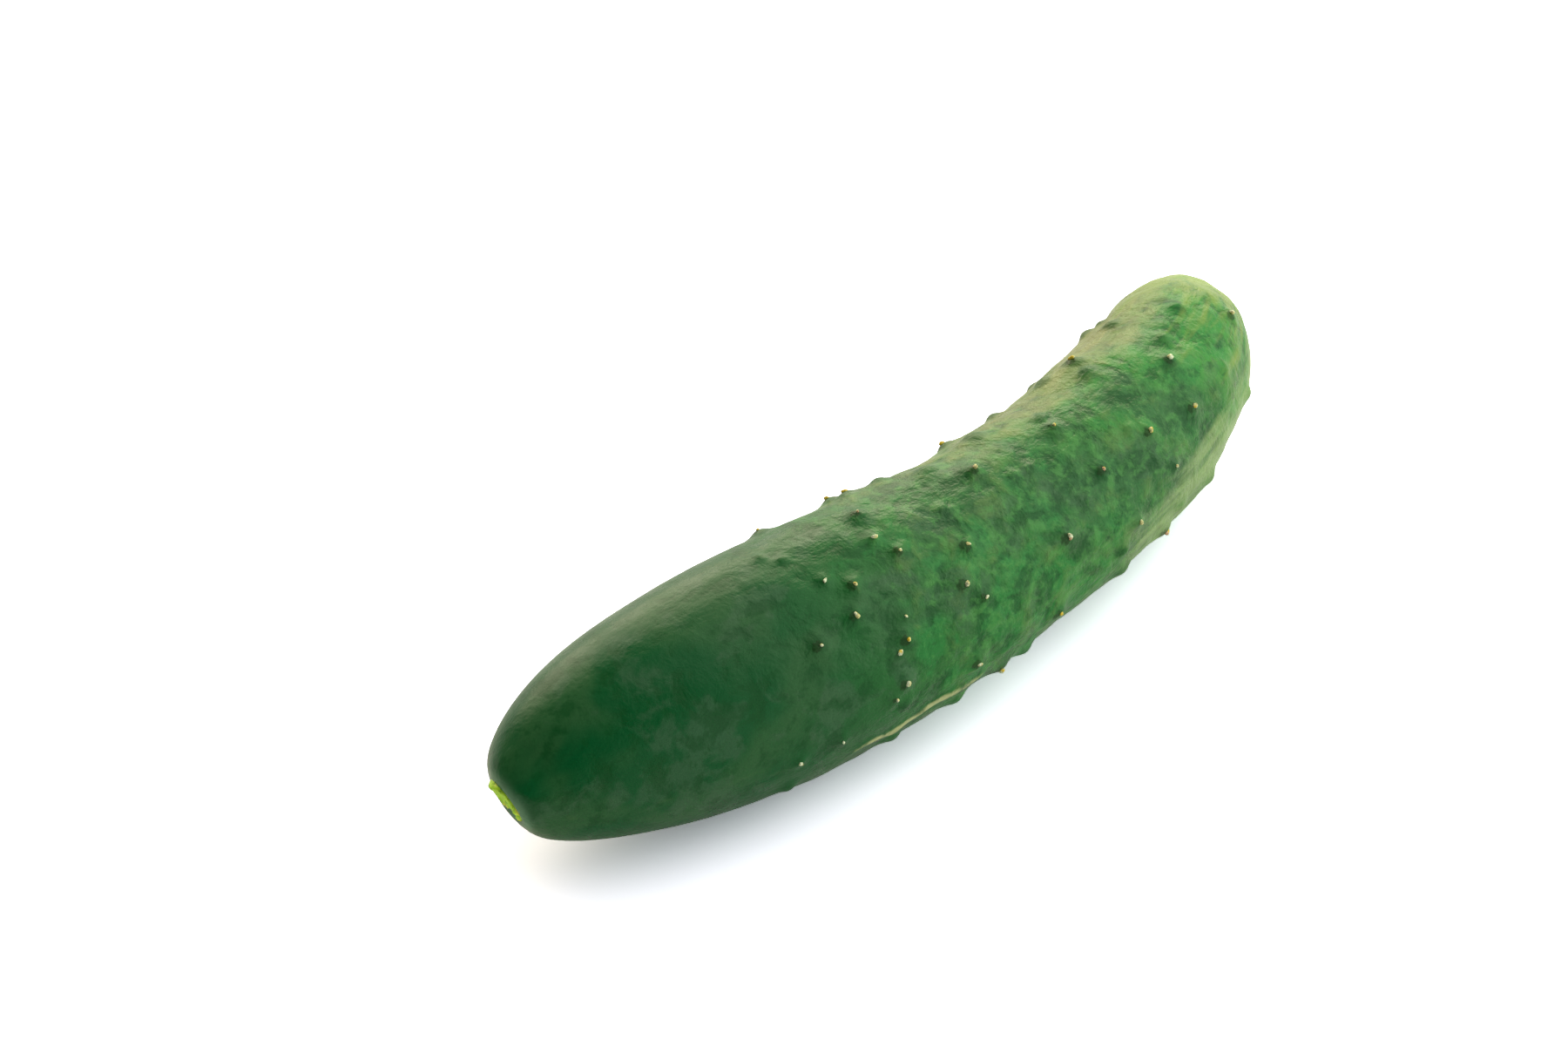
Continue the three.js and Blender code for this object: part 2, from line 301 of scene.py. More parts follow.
def middle_line():
    """Points of the middle line, with its ends along X, and the angle that it was turned by."""
    turn = heading((np.arange(AXIS_STEPS) + 0.5) / AXIS_STEPS)
    steps = np.stack([np.cos(turn), np.sin(turn)], 1) * LENGTH / AXIS_STEPS
    flat = np.concatenate([[[0.0, 0.0]], np.cumsum(steps, axis=0)])
    chord = math.atan2(flat[-1, 1], flat[-1, 0])
    x = flat[:, 0] * math.cos(chord) + flat[:, 1] * math.sin(chord)
    y = flat[:, 1] * math.cos(chord) - flat[:, 0] * math.sin(chord)
    share = np.linspace(0, 1, AXIS_STEPS + 1)
    z = -ARCH * (2 * share - 1) ** 2 - TILT * (share - 0.5)
    return np.stack([x, y, z], 1), chord


AXIS, CHORD = middle_line()


def bent(mm, angle, radius):
    """Points of the bent fruit, in millimetres, before it is lowered to the floor."""
    near_scar = (mm < FATTEST_AT * LENGTH) * (1 - smooth_step(radius, STEM_SCAR_RADIUS, SCAR_FADE))
    mm = mm - SCAR_SLOPE * radius * np.cos(angle - SCAR_UP) * near_scar
    share = mm / LENGTH
    grid = np.linspace(0, 1, AXIS_STEPS + 1)
    middle = np.stack([np.interp(share, grid, AXIS[:, i]) for i in range(3)], -1)
    turn = heading(np.clip(share, 0, 1)) - CHORD
    start = np.array([math.cos(HOOK_ANGLE - CHORD), math.sin(HOOK_ANGLE - CHORD), 0.0])
    middle += np.minimum(mm, 0)[..., None] * start
    side = np.stack([np.sin(turn), -np.cos(turn), np.zeros_like(turn)], -1)
    across = (radius * np.sin(angle))[..., None] * side
    up = np.zeros_like(across)
    up[..., 2] = radius * np.cos(angle)
    return middle + across + up


def smooth_skin(mm, angle):
    """Radius of the skin without its warts."""
    share = mm / LENGTH
    smooth = body_radius(share)
    lobed = smooth * (1 + LOBE_SHARE * np.cos(LOBES * angle + LOBE_PHASE))
    swell = smooth_step(share, UNDULATION_START, UNDULATION_FULL) * smooth / FULL_RADIUS
    waves = sum(
        size * np.sin(along * mm + around * angle + phase)
        for size, along, around, phase in UNDULATIONS
    )
    return lobed + swell * waves


def all_warts():
    """The listed warts, and an even scatter over the back and belly."""
    warts = list(WARTS)
    for i in range(1, BACK_WARTS + 1):
        mm, degrees, size = (
            low + (high - low) * (i * step % 1)
            for low, high, step in zip(BACK_FROM, BACK_TO, BACK_STEPS)
        )
        warts.append((mm, degrees, size, BACK_SPINES[i % len(BACK_SPINES)]))
    return warts


def wart_distances(mm, angle, radius, wart):
    """Distance over the skin to a wart: along the fruit, and in all."""
    along = mm - wart[0]
    away = angle - math.radians(wart[1])
    around = np.arctan2(np.sin(away), np.cos(away)) * radius
    return along, np.hypot(along, around)


def wart_relief(mm, angle, radius, height):
    """Height of the warts over the skin, how far up its wart each point is, which sets the painted
    shade on the warts, and the dark collars, partly dead tissue and partly painted shadows by the
    spines.
    """
    relief = np.zeros_like(mm)
    mound_shade = np.zeros_like(mm)
    collar_and_shadow = np.zeros_like(mm)
    scale = height / FULL_WART
    for wart in all_warts():
        near = np.abs(mm - wart[0]) < 2 * SWELL_RADIUS
        along, away = wart_distances(mm[near], angle[near], radius[near], wart)
        size = wart[2]
        swelling = np.clip(1 - (away / (SWELL_RADIUS * size)) ** 2, 0, 1) ** 2
        nipple = np.clip(1 - (away / (NIPPLE_RADIUS * size)) ** 2, 0, 1) ** 1.5
        shape = scale * size * (SWELL_HEIGHT * swelling + NIPPLE_HEIGHT * nipple)
        relief[near] = np.maximum(relief[near], shape)
        mound_shade[near] = np.maximum(mound_shade[near], swelling)
        # The dark collar is partly dead tissue and partly a painted shadow beside the spine.
        if wart[3]:
            around = np.sqrt(np.clip(away**2 - along**2, 0, None))
            from_spine = np.hypot(along + COLLAR_SHADOW_SHIFT * size, around)
            ring = np.clip(1 - (from_spine / (COLLAR_SHADOW_RADIUS * size)) ** 2, 0, 1)
            collar_and_shadow[near] = np.maximum(collar_and_shadow[near], min(size, 1.0) ** 2 * ring)
    return relief, mound_shade, collar_and_shadow


def dents(mm, angle, radius):
    """How far the skin sinks in soft dents, which start where the smooth stem end stops."""
    round_x, round_y = radius * np.sin(angle), radius * np.cos(angle)
    depth = np.zeros_like(mm)
    for deep, wide in DENTS:
        places = np.stack([round_x / wide, round_y / wide, mm / wide / DENT_STRETCH + wide], 1)
        waves = np.array([noise.noise(place) for place in places])
        depth += deep * np.clip(DENT_BIAS + waves, 0, 1)
    return depth * smooth_step(mm / LENGTH, DENTS_START, DENTS_FULL)


def crease(mm, angle, radius):
    """How close each point is to the line of the crease, from 0 to 1."""
    length = CREASE_TO[0] - CREASE_FROM[0]
    share = np.clip((mm - CREASE_FROM[0]) / length, 0, 1)
    line = np.radians(CREASE_FROM[1] + share * (CREASE_TO[1] - CREASE_FROM[1]))
    line += CREASE_WAVE * np.sin(mm * CREASE_WAVE_RATE)
    away = np.hypot((angle - line) * radius, mm - CREASE_FROM[0] - share * length)
    run = (mm - CREASE_FROM[0] + CREASE_RUN_OUT) / (length + 2 * CREASE_RUN_OUT)
    fade = np.sin(np.pi * np.clip(run, 0, 1)) ** CREASE_FADE
    return fade * np.exp(-((away / CREASE_WIDTH) ** 2))


def pale_sheen_and_reflection_zones(mm, angle):
    """How far into the hollow side's zone each point is, how far that zone has come in along the
    fruit, and how far into the outer side's zone the point is. The hollow side's zone is partly a
    paler side and partly a painted sheen; the outer side's zone is a painted reflection of the floor."""
    pale_and_sheen_side = smooth_step(np.cos(angle - HOLLOW_ZONE), *HOLLOW_EDGES)
    growth = sum(part * smooth_step(mm, low, high) for part, low, high in HOLLOW_STEPS)
    floor_reflection_side = smooth_step(np.cos(angle - OUTER_ZONE), *OUTER_EDGES)
    floor_reflection_side *= OUTER_AT_STEM + (1 - OUTER_AT_STEM) * smooth_step(mm, *OUTER_STEP)
    return pale_and_sheen_side, growth, floor_reflection_side


def radius_place(radius, tip):
    """Millimetres from the stem end where the body has a radius, on the side of a tip."""
    thin, thick = tip, FATTEST_AT * LENGTH
    for _ in range(40):
        middle = (thin + thick) / 2
        if body_radius(np.array(middle / LENGTH)) < radius:
            thin = middle
        else:
            thick = middle
    return thick


def long_section(count):
    """Radius and millimetres of points at even steps over the skin, from scar to scar."""
    stem_rim = radius_place(STEM_SCAR_RADIUS, 0.0)
    blossom_rim = radius_place(BLOSSOM_SCAR_RADIUS, LENGTH)
    swing = (1 - np.cos(np.linspace(0, np.pi, SECTION_STEPS))) / 2
    skin_mm = stem_rim + (blossom_rim - stem_rim) * swing
    ring = np.linspace(0, 1, DISH_STEPS, endpoint=False)
    stem_mm = stem_rim + STEM_SCAR_DEPTH * (1 - ring**3)
    blossom_mm = blossom_rim - BLOSSOM_SCAR_DEPTH * (1 - ring**3)
    radius = np.concatenate(
        [STEM_SCAR_RADIUS * ring, body_radius(skin_mm / LENGTH), BLOSSOM_SCAR_RADIUS * ring[::-1]]
    )
    mm = np.concatenate([stem_mm, skin_mm, blossom_mm[::-1]])
    length = np.concatenate([[0], np.cumsum(np.hypot(np.diff(radius), np.diff(mm)))])
    even = np.linspace(0, length[-1], count)
    return np.interp(even, length, radius), np.interp(even, length, mm)


# Mesh helpers. A spun mesh is in millimetres until it is bent into place.

ON_AXIS, SAME_POLE = 1e-4, 1e-3  # mm


def spun_mesh(radii, heights, sides):
    """A closed bmesh turned round Z from a chain of points that starts and ends on the axis."""
    mesh = bmesh.new()
    ends = [mesh.verts.new((0, 0, 0)), mesh.verts.new((0, 0, 1))]
    mesh.edges.new(ends)
    bmesh.ops.subdivide_edges(mesh, edges=mesh.edges[:], cuts=len(radii) - 2)
    chain = sorted(mesh.verts, key=lambda vert: vert.co.z)
    for vert, radius, height in zip(chain, radii, heights):
        vert.co = (0, radius, height)
    bmesh.ops.spin(
        mesh, geom=mesh.verts[:] + mesh.edges[:], axis=(0, 0, 1), cent=(0, 0, 0),
        angle=2 * math.pi, steps=sides, use_merge=True,
    )
    poles = [vert for vert in mesh.verts if math.hypot(vert.co.x, vert.co.y) < ON_AXIS]
    bmesh.ops.remove_doubles(mesh, verts=poles, dist=SAME_POLE)
    bmesh.ops.recalc_face_normals(mesh, faces=mesh.faces[:])
    # Bending the body into place mirrors it, so its faces start the other way round.
    bmesh.ops.reverse_faces(mesh, faces=mesh.faces[:])
    return mesh


def to_object(name, mesh):
    """Turns a bmesh into a smooth object at the origin."""
    data = bpy.data.meshes.new(name)
    mesh.to_mesh(data)
    mesh.free()
    data.polygons.foreach_set("use_smooth", [True] * len(data.polygons))
    piece = bpy.data.objects.new(name, data)
    bpy.context.scene.collection.objects.link(piece)
    return piece


def write_attribute(piece, name, kind, values):
    field = "vector" if kind == "FLOAT_VECTOR" else "value"
    attribute = piece.data.attributes.new(name, kind, "POINT")
    attribute.data.foreach_set(field, np.asarray(values, dtype=np.float32).ravel())


def points_of(piece):
    points = np.empty(len(piece.data.vertices) * 3, dtype=np.float32)
    piece.data.vertices.foreach_get("co", points)
    return points.reshape(-1, 3).astype(float)


def set_points(piece, points):
    piece.data.vertices.foreach_set("co", points.astype(np.float32).ravel())
    piece.data.update()


def settle():
    """Moves from the bent fruit's own place to the part's: the middle and top of the same box."""
    radius, mm = long_section(SETTLE_RINGS)
    angle = np.linspace(0, 2 * np.pi, SETTLE_SIDES, endpoint=False)
    mm, angle = np.meshgrid(mm, angle, indexing="ij")
    skin = smooth_skin(mm, angle) + wart_relief(mm, angle, body_radius(mm / LENGTH), FULL_WART)[0]
    points = bent(mm, angle, np.where(radius[:, None] > 0, skin, 0)).reshape(-1, 3)
    low, high = points.min(0), points.max(0)
    box_low, box_high = (np.array(corner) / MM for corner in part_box(NODE))
    shift = (box_low + box_high - low - high) / 2
    shift[2] = box_high[2] - high[2]
    return shift


SHIFT = settle()


def placed(mm, angle, radius):
    """Points of the fruit in the part's frame, in metres, held inside the part's own box, which
    presses the belly flat where it rests."""
    return np.clip((bent(mm, angle, radius) + SHIFT) * MM, *CAD_BOX)


# Materials.


def node(tree, kind, output, inputs=None, **settings):
    """Adds a node, sets its properties, fills or links its inputs, and returns one output."""
    made = tree.nodes.new(kind)
    for name, value in settings.items():
        setattr(made, name, value)
    for name, value in (inputs or {}).items():
        if isinstance(value, bpy.types.NodeSocket):
            tree.links.new(value, made.inputs[name])
        else:
            made.inputs[name].default_value = value
    return made.outputs[output] if output is not None else made


def new_material(name):
    material = bpy.data.materials.new(name)
    material.use_nodes = True
    material.node_tree.nodes.clear()
    return material, material.node_tree


def alpha(colour):
    return (*(linear(colour) if isinstance(colour, str) else colour), 1.0)


MIX, MATH, RANGE = "ShaderNodeMix", "ShaderNodeMath", "ShaderNodeMapRange"
NOISE, BUMP, ATTRIBUTE = "ShaderNodeTexNoise", "ShaderNodeBump", "ShaderNodeAttribute"
PRINCIPLED = "ShaderNodeBsdfPrincipled"


def layered(tree, base, layers):
    """Lays colours over a base one by one: each has a mask, the mask's range, a strength, a colour."""
    for mask, low, high, strength, colour in layers:
        share = node(
            tree, RANGE, 0, {0: mask, 1: low, 2: high, 3: 0.0, 4: strength},
            interpolation_type="SMOOTHSTEP",
        )
        base = node(tree, MIX, 2, {0: share, 6: base, 7: alpha(colour)}, data_type="RGBA")
    return base


def skin_material(colours):
    """Waxed cucumber skin: dark chlorophyll green that pales to the blossom end, under thin wax. Its
    colour also holds a painted sheen, a painted floor reflection, and painted shade and shadow by the
    warts.
    """
    material, tree = new_material("waxy_cucumber_skin")
    place = node(tree, ATTRIBUTE, "Vector", attribute_name="unbent")
    share = node(tree, ATTRIBUTE, "Fac", attribute_name="share")
    mound_shade = node(tree, ATTRIBUTE, "Fac", attribute_name="mound_shade")
    collar_and_shadow = node(tree, ATTRIBUTE, "Fac", attribute_name="collar_and_shadow")
    crease_line = node(tree, ATTRIBUTE, "Fac", attribute_name="crease")
    pale_and_sheen_side = node(tree, ATTRIBUTE, "Fac", attribute_name="pale_and_sheen_side")
    floor_reflection_side = node(tree, ATTRIBUTE, "Fac", attribute_name="floor_reflection_side")
    lip = node(tree, ATTRIBUTE, "Fac", attribute_name="lip")
    lengthwise = node(tree, "ShaderNodeMapping", 0, {0: place, 3: (1.0, 1.0, 0.16)})

    # Scales are one over the pattern's size in metres, from broad patches of 30 mm to 0.9 mm pores,
    # which are drawn coarser than real ones so that they show.
    clouds = node(
        tree, NOISE, 0, {"Vector": place, "W": 1.0, "Scale": 1 / 0.011, "Detail": 4.0,
        "Roughness": 0.6, "Distortion": 0.4}, noise_dimensions="4D",
    )
    broad = node(
        tree, NOISE, 0, {"Vector": place, "W": 2.0, "Scale": 1 / 0.03, "Detail": 3.0,
        "Roughness": 0.6, "Distortion": 0.5}, noise_dimensions="4D",
    )
    shades = node(
        tree, NOISE, 0, {"Vector": place, "W": 7.0, "Scale": 1 / 0.006, "Detail": 4.0,
        "Roughness": 0.6, "Distortion": 0.3}, noise_dimensions="4D",
    )
    mottles = node(
        tree, NOISE, 0, {"Vector": place, "W": 3.0, "Scale": 1 / 0.0026, "Detail": 3.0,
        "Roughness": 0.6, "Distortion": 0.3}, noise_dimensions="4D",
    )
    streaks = node(
        tree, NOISE, 0, {"Vector": lengthwise, "W": 5.0, "Scale": 1 / 0.0034, "Detail": 3.0,
        "Roughness": 0.6}, noise_dimensions="4D",
    )
    pores = node(tree, NOISE, 0, {"Vector": place, "Scale": 1 / 0.0009, "Detail": 2.0})

    rough_part = node(
        tree, RANGE, 0, {0: share, 1: 0.12, 2: 0.46, 3: 0.25}, interpolation_type="SMOOTHSTEP"
    )
    to_tip = node(tree, RANGE, 0, {0: share, 1: 0.5, 2: 0.98}, interpolation_type="SMOOTHSTEP")
    stripes = node(tree, MATH, 0, {0: streaks, 1: to_tip}, operation="MULTIPLY")
    bright = node(tree, MATH, 0, {0: mottles, 1: rough_part}, operation="MULTIPLY")
    patches = node(tree, MATH, 0, {0: clouds, 1: rough_part}, operation="MULTIPLY")
    light = node(tree, MATH, 0, {0: shades, 1: rough_part}, operation="MULTIPLY")
    # Pale and beige on the hollow side: partly a paler side of the skin, partly a painted sheen.
    pale_skin_and_sheen = node(tree, MATH, 0, {0: pale_and_sheen_side, 1: shades}, operation="MULTIPLY")
    beige_strokes_and_sheen = node(tree, MATH, 0, {0: pale_and_sheen_side, 1: streaks}, operation="MULTIPLY")
    # Low on the outer side: a painted reflection of the white floor.
    painted_floor_reflection = node(tree, MATH, 0, {0: floor_reflection_side, 1: streaks}, operation="MULTIPLY")
    ragged_collar_and_shadow = node(tree, MATH, 0, {0: collar_and_shadow, 1: pores}, operation="MULTIPLY")
    ragged_crease = node(tree, MATH, 0, {0: crease_line, 1: mottles}, operation="MULTIPLY")

    base = layered(tree, alpha(colours.stem_green), [
        (share, 0.2, 0.5, 1.0, colours.middle_green),
        (share, 0.5, 0.88, 1.0, colours.blossom_green),
        (patches, 0.46, 0.55, 0.6, "#26803F"),
        (broad, 0.46, 0.58, 0.7, "#33603A"),
        (clouds, 0.49, 0.4, 0.45, "#42644C"),
        (shades, 0.49, 0.38, 0.65, "#0A4820"),
        (light, 0.5, 0.66, 0.4, "#64864A"),
        (bright, 0.48, 0.66, 0.5, "#52964F"),
        (mottles, 0.46, 0.34, 0.5, "#0C4C22"),
        # High on the hollow side: partly a paler side of the skin, partly a painted sheen.
        (pale_skin_and_sheen, 0.18, 0.38, 0.55, "#8A935C"),
        (beige_strokes_and_sheen, 0.34, 0.54, 0.3, "#AEA66E"),
        # Painted reflection of the white floor, low on the outer side.
        (painted_floor_reflection, 0.2, 0.5, 0.7, "#98B47C"),
        (stripes, 0.36, 0.6, 0.85, colours.stripe),
        (share, 0.9, 0.985, 0.75, "#A4BC6C"),
        # Painted shade on the warts, darkest on the hollow side where it breaks the painted sheen.
        (mound_shade, 0.1, 0.75, 0.65, "#1E5A2A"),
        # Dark collar by each spine: partly dead tissue, partly a painted shadow.
        (ragged_collar_and_shadow, 0.18, 0.4, 0.65, "#16300E"),
        (ragged_crease, 0.14, 0.42, 0.95, "#B8BE8C"),
        (lip, 0.1, 1.0, 0.6, "#78A084"),
    ])

    ribs = node(
        tree, BUMP, 0, {"Height": streaks, "Strength": rough_part, "Distance": 0.35 * MM}
    )
    hummocks = node(
        tree, BUMP, 0,
        {"Height": shades, "Strength": rough_part, "Distance": 1.3 * MM, "Normal": ribs}
    )
    dimples = node(
        tree, BUMP, 0,
        {"Height": mottles, "Strength": rough_part, "Distance": 0.22 * MM, "Normal": hummocks}
    )
    grain = node(
        tree, BUMP, 0, {"Height": pores, "Strength": 0.3, "Distance": 0.06 * MM, "Normal": dimples}
    )
    shader = node(
        tree, PRINCIPLED, 0,
        {
            "Base Color": base,
            "Roughness": node(tree, RANGE, 0, {0: clouds, 1: 0.3, 2: 0.7, 3: 0.22, 4: 0.36}),
            "Normal": grain,
            "IOR": 1.45,
            "Specular IOR Level": 0.17,
        },
    )
    node(tree, "ShaderNodeOutputMaterial", None, {"Surface": shader})
    return material


def spine_material():
    """Dry spine stubs: brittle and straw-coloured, duller where they have weathered."""
    material, tree = new_material("dry_cucumber_spine")
    place = node(tree, "ShaderNodeTexCoord", "Object")
    tone = node(tree, ATTRIBUTE, "Vector", attribute_name="tone")
    weathering = node(tree, NOISE, 0, {"Vector": place, "Scale": 1 / 0.0005, "Detail": 2.0})
    shader = node(
        tree, PRINCIPLED, 0,
        {
            "Base Color": layered(tree, tone, [(weathering, 0.45, 0.7, 0.7, "#6A5A26")]),
            "Roughness": node(tree, RANGE, 0, {0: weathering, 3: 0.35, 4: 0.6}),
            "Normal": node(
                tree, BUMP, 0, {"Height": weathering, "Strength": 0.5, "Distance": 0.15 * MM}
            ),
            "IOR": 1.5,
        },
    )
    node(tree, "ShaderNodeOutputMaterial", None, {"Surface": shader})
    return material


def cut_material(colours):
    """Torn stalk tissue: moist lime flesh with yellow bundles and darker fibres, and painted shade in
    its hollow middle.
    """
    material, tree = new_material("torn_stalk_tissue")
    place = node(tree, "ShaderNodeTexCoord", "Object")
    patches = node(tree, NOISE, 0, {"Vector": place, "Scale": 1 / 0.0026, "Detail": 2.0})
    fibres = node(
        tree, NOISE, 0, {"Vector": place, "Scale": 1 / 0.0007, "Detail": 3.0, "Roughness": 0.6}
    )
    hollow = node(tree, ATTRIBUTE, "Fac", attribute_name="hollow")
    base = layered(tree, alpha(colours.cut), [
        (patches, 0.5, 0.66, 1.0, "#F0EC4A"),
        (fibres, 0.46, 0.3, 0.8, "#4C9A14"),
        # Painted shade in the plug's hollow middle.
        (hollow, 0.2, 0.9, 0.9, "#1E5A0C"),
    ])
    shader = node(
        tree, PRINCIPLED, 0,
        {
            "Base Color": base,
            "Roughness": node(tree, RANGE, 0, {0: fibres, 3: 0.3, 4: 0.5}),
            "Normal": node(
                tree, BUMP, 0, {"Height": fibres, "Strength": 0.6, "Distance": 0.3 * MM}
            ),
            "IOR": 1.38,
            "Subsurface Weight": 0.15,
            "Subsurface Radius": (0.0008, 0.0012, 0.0003),
            "Subsurface Scale": 1.0,
        },
    )
    node(tree, "ShaderNodeOutputMaterial", None, {"Surface": shader})
    return material


def cork_material():
    """Withered blossom base: thin, papery, fawn cork."""
    material, tree = new_material("withered_blossom_cork")
    place = node(tree, "ShaderNodeTexCoord", "Object")
    flakes = node(
        tree, NOISE, 0, {"Vector": place, "Scale": 1 / 0.0009, "Detail": 4.0, "Roughness": 0.6}
    )
    shader = node(
        tree, PRINCIPLED, 0,
        {
            "Base Color": layered(tree, alpha("#6E5A34"), [(flakes, 0.35, 0.65, 1.0, "#C2AE78")]),
            "Roughness": node(tree, RANGE, 0, {0: flakes, 3: 0.7, 4: 0.9}),
            "Normal": node(
                tree, BUMP, 0, {"Height": flakes, "Strength": 0.7, "Distance": 0.3 * MM}
            ),
        },
    )
    node(tree, "ShaderNodeOutputMaterial", None, {"Surface": shader})
    return material


def floor_material():
    """Matt white board, burnt out to plain white for the camera except where the shadow falls."""
    material, tree = new_material("matt_white_board")
    place = node(tree, "ShaderNodeTexCoord", "Object")
    tooth = node(tree, NOISE, 0, {"Vector": place, "Scale": 1 / 0.0015, "Detail": 2.0})
    board = layered(tree, alpha("#F2F4F4"), [(tooth, 0.3, 0.7, 1.0, "#F6F8F8")])
    plain = node(tree, "ShaderNodeBsdfDiffuse", 0, {"Color": board})
    exposed = node(tree, "ShaderNodeBsdfDiffuse", 0, {"Color": BURNT_OUT_BOARD})
    seen = node(tree, "ShaderNodeLightPath", "Is Camera Ray")
    mix = node(tree, "ShaderNodeMixShader", 0, {0: seen, 1: plain, 2: exposed})
    node(tree, "ShaderNodeOutputMaterial", None, {"Surface": mix})
    return material


# Operators, one for each piece.


def own_piece(piece, material):
    piece.data.materials.append(material)
    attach(piece, "root")


class CUCUMBER_OT_skin(bpy.types.Operator):
    """Build the whole warty skin in place of the part's plain solid"""

    bl_idname = "cucumber.skin"
    bl_label = "Skin"

    def execute(self, context):
        settings = context.scene.cucumber_fruit
        radii, heights = long_section(settings.rings + 1)
        piece = to_object("cucumber_skin", spun_mesh(radii, heights, settings.sides))
        raw = points_of(piece)
        mm = raw[:, 2]
        turned = np.hypot(raw[:, 0], raw[:, 1])
        angle = np.arctan2(raw[:, 0], raw[:, 1])
        smooth = body_radius(mm / LENGTH)
        on_skin = turned > 0.99 * smooth
        relief, mound_shade, collar_and_shadow = wart_relief(mm, angle, smooth, settings.wart_height / MM)
        line = crease(mm, angle, smooth)
        relief += CREASE_HEIGHT * line - dents(mm, angle, smooth)
        radius = np.where(on_skin, smooth_skin(mm, angle) + relief, turned)
        set_points(piece, placed(mm, angle, radius))
        write_attribute(piece, "unbent", "FLOAT_VECTOR", raw * MM)
        write_attribute(piece, "share", "FLOAT", mm / LENGTH)
        # Dark collars: partly dead tissue, partly a painted shadow beside each spine.
        write_attribute(piece, "collar_and_shadow", "FLOAT", collar_and_shadow)
        write_attribute(piece, "crease", "FLOAT", line)
        pale_and_sheen_side, growth, floor_reflection_side = pale_sheen_and_reflection_zones(mm, angle)
        # The painted shade on the warts is strongest on the hollow side, where their slopes miss the
        # sheen.
        green = MOUND_SHADE_OUTSIDE + (1 - MOUND_SHADE_OUTSIDE) * pale_and_sheen_side
        # The hollow side's pale zone: partly a paler side of the skin, partly a painted sheen.
        write_attribute(piece, "pale_and_sheen_side", "FLOAT", pale_and_sheen_side * growth)
        write_attribute(piece, "mound_shade", "FLOAT", mound_shade * green)
        # A painted reflection of the floor, low on the outer side.
        write_attribute(piece, "floor_reflection_side", "FLOAT", floor_reflection_side)
        past_rim = (smooth - STEM_SCAR_RADIUS) / LIP_WIDTH
        lip = np.exp(-(past_rim**2)) * (mm < FATTEST_AT * LENGTH)
        write_attribute(piece, "lip", "FLOAT", lip)
        own_piece(piece, skin_material(context.scene.cucumber_colours))
        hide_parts(NODE)
        return {"FINISHED"}


class CUCUMBER_OT_spines(bpy.types.Operator):
    """Set the stub of a dry spine on each wart that still has one"""

    bl_idname = "cucumber.spines"
    bl_label = "Dry spines"

    def execute(self, context):
        settings = context.scene.cucumber_fruit
        mesh = bmesh.new()
        tones = []
        for mm, degrees, size, tone in all_warts():
            height = self.skin(mm, math.radians(degrees), size, settings)[2]
            if tone and height > LEAST_SPINE_HEIGHT:
                before = len(mesh.verts)
                self.add_spine(mesh, mm, degrees, size, settings)
                tones += [linear(SPINE_TONES[tone])] * (len(mesh.verts) - before)
        piece = to_object("dry_spines", mesh)
        write_attribute(piece, "tone", "FLOAT_VECTOR", tones)
        own_piece(piece, spine_material())
        return {"FINISHED"}

    def add_spine(self, mesh, mm, degrees, size, settings):
        """Adds one spine on top of its wart, turned to stand out from the skin there."""
        angle = math.radians(degrees)
        top = self.skin(mm, angle, size, settings)
        along = self.skin(mm + 1, angle, size, settings) - self.skin(mm - 1, angle, size, settings)
        around = self.skin(mm, angle + 0.05, size, settings)
        around -= self.skin(mm, angle - 0.05, size, settings)
        normal = Vector(np.cross(around, along)).normalized()
        width = settings.spine_width * (SPINE_LEAST + (1 - SPINE_LEAST) * size)
        width *= 1 + SPINE_SPREAD * math.sin(mm)
        turn = normal.to_track_quat("Z", "Y").to_matrix().to_4x4()
        low, high = CAD_BOX
        clear = width * SPINE_CLEARANCE
        seat = [min(max(top[i], low[i] + clear), high[i] - clear) for i in range(3)]
        lean = Matrix.Rotation(mm, 4, "Z") @ Matrix.Diagonal(SPINE_FLATNESS)
        made = bmesh.ops.create_uvsphere(
            mesh, u_segments=SPINE_SEGMENTS, v_segments=SPINE_RINGS, radius=width / 2,
            matrix=Matrix.Translation(seat) @ turn @ lean,
        )
        for vert in made["verts"]:
            ragged = 1 + SPINE_ROUGHNESS * noise.noise(vert.co * SPINE_LUMPS / width)
            vert.co = Vector(seat) + (vert.co - Vector(seat)) * ragged

    def skin(self, mm, angle, size, settings):
        """The top of a wart at a place, or of the skin beside it raised as much, in metres."""
        mm, angle = np.array([float(mm)]), np.array([angle])
        height = size * settings.wart_height / MM - dents(mm, angle, body_radius(mm / LENGTH))
        return placed(mm, angle, smooth_skin(mm, angle) + height)[0]


